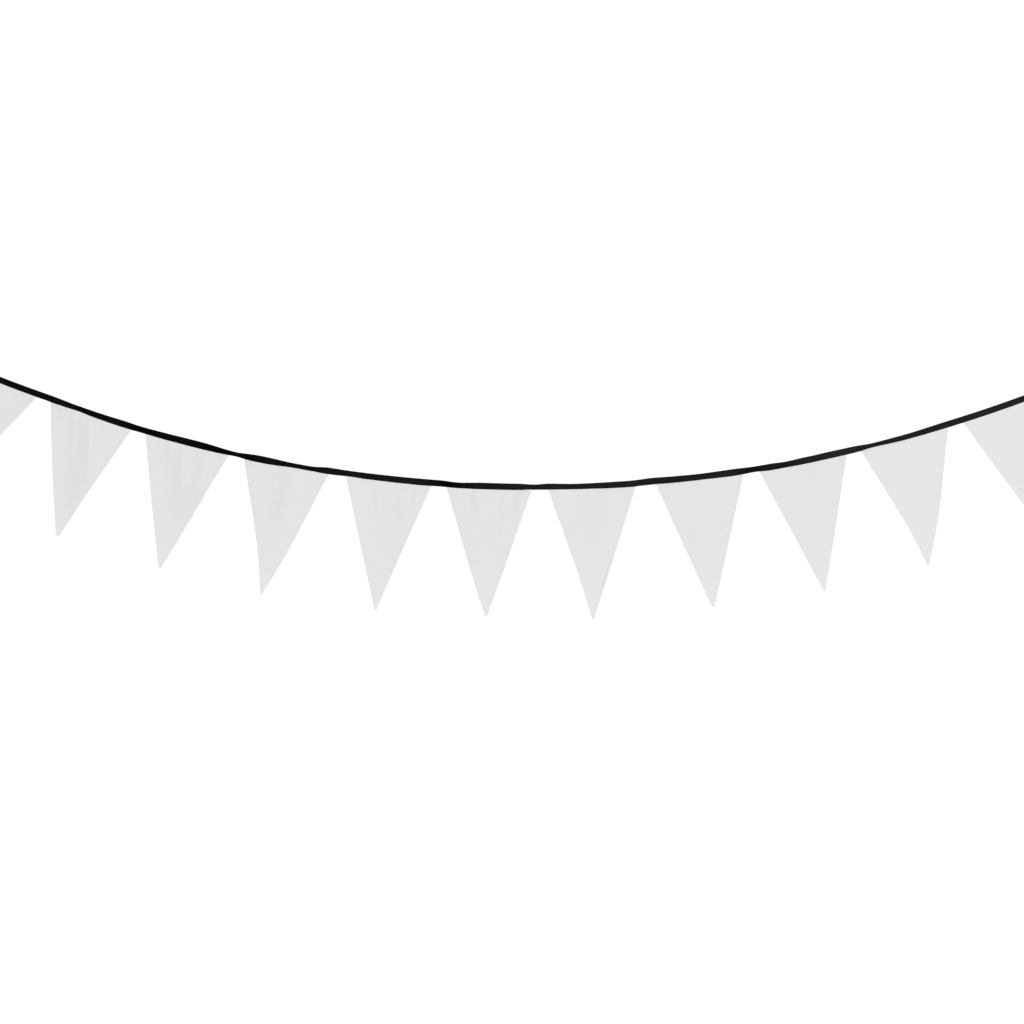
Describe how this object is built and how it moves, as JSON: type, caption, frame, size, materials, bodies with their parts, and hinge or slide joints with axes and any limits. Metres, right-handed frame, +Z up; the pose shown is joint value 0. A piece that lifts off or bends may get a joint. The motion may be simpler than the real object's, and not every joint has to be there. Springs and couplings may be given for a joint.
{
  "type": "fabric bunting",
  "caption": "Sagging string of white triangular cloth pennants, sewn by their straight heads into a black tape that is folded over them and held at its ends.",
  "frame": {"origin": "middle of the folded tape at its left end, where something else holds it up", "axes": "+X along the bunting from its left end to its right, +Z up, the front faces -Y"},
  "size_m": [2.6468, 0.023, 0.6284],
  "materials": {
    "white_cloth": "matt plain weave",
    "black_tape": "faint satin sheen, fine weave"
  },
  "bodies": {
    "root": {"binding_tape": "black_tape", "pennant_01": "white_cloth", "pennant_02": "white_cloth", "pennant_03": "white_cloth", "pennant_04": "white_cloth", "pennant_05": "white_cloth", "pennant_06": "white_cloth", "pennant_07": "white_cloth", "pennant_08": "white_cloth", "pennant_09": "white_cloth", "pennant_10": "white_cloth", "pennant_11": "white_cloth"}
  },
  "joints": []
}
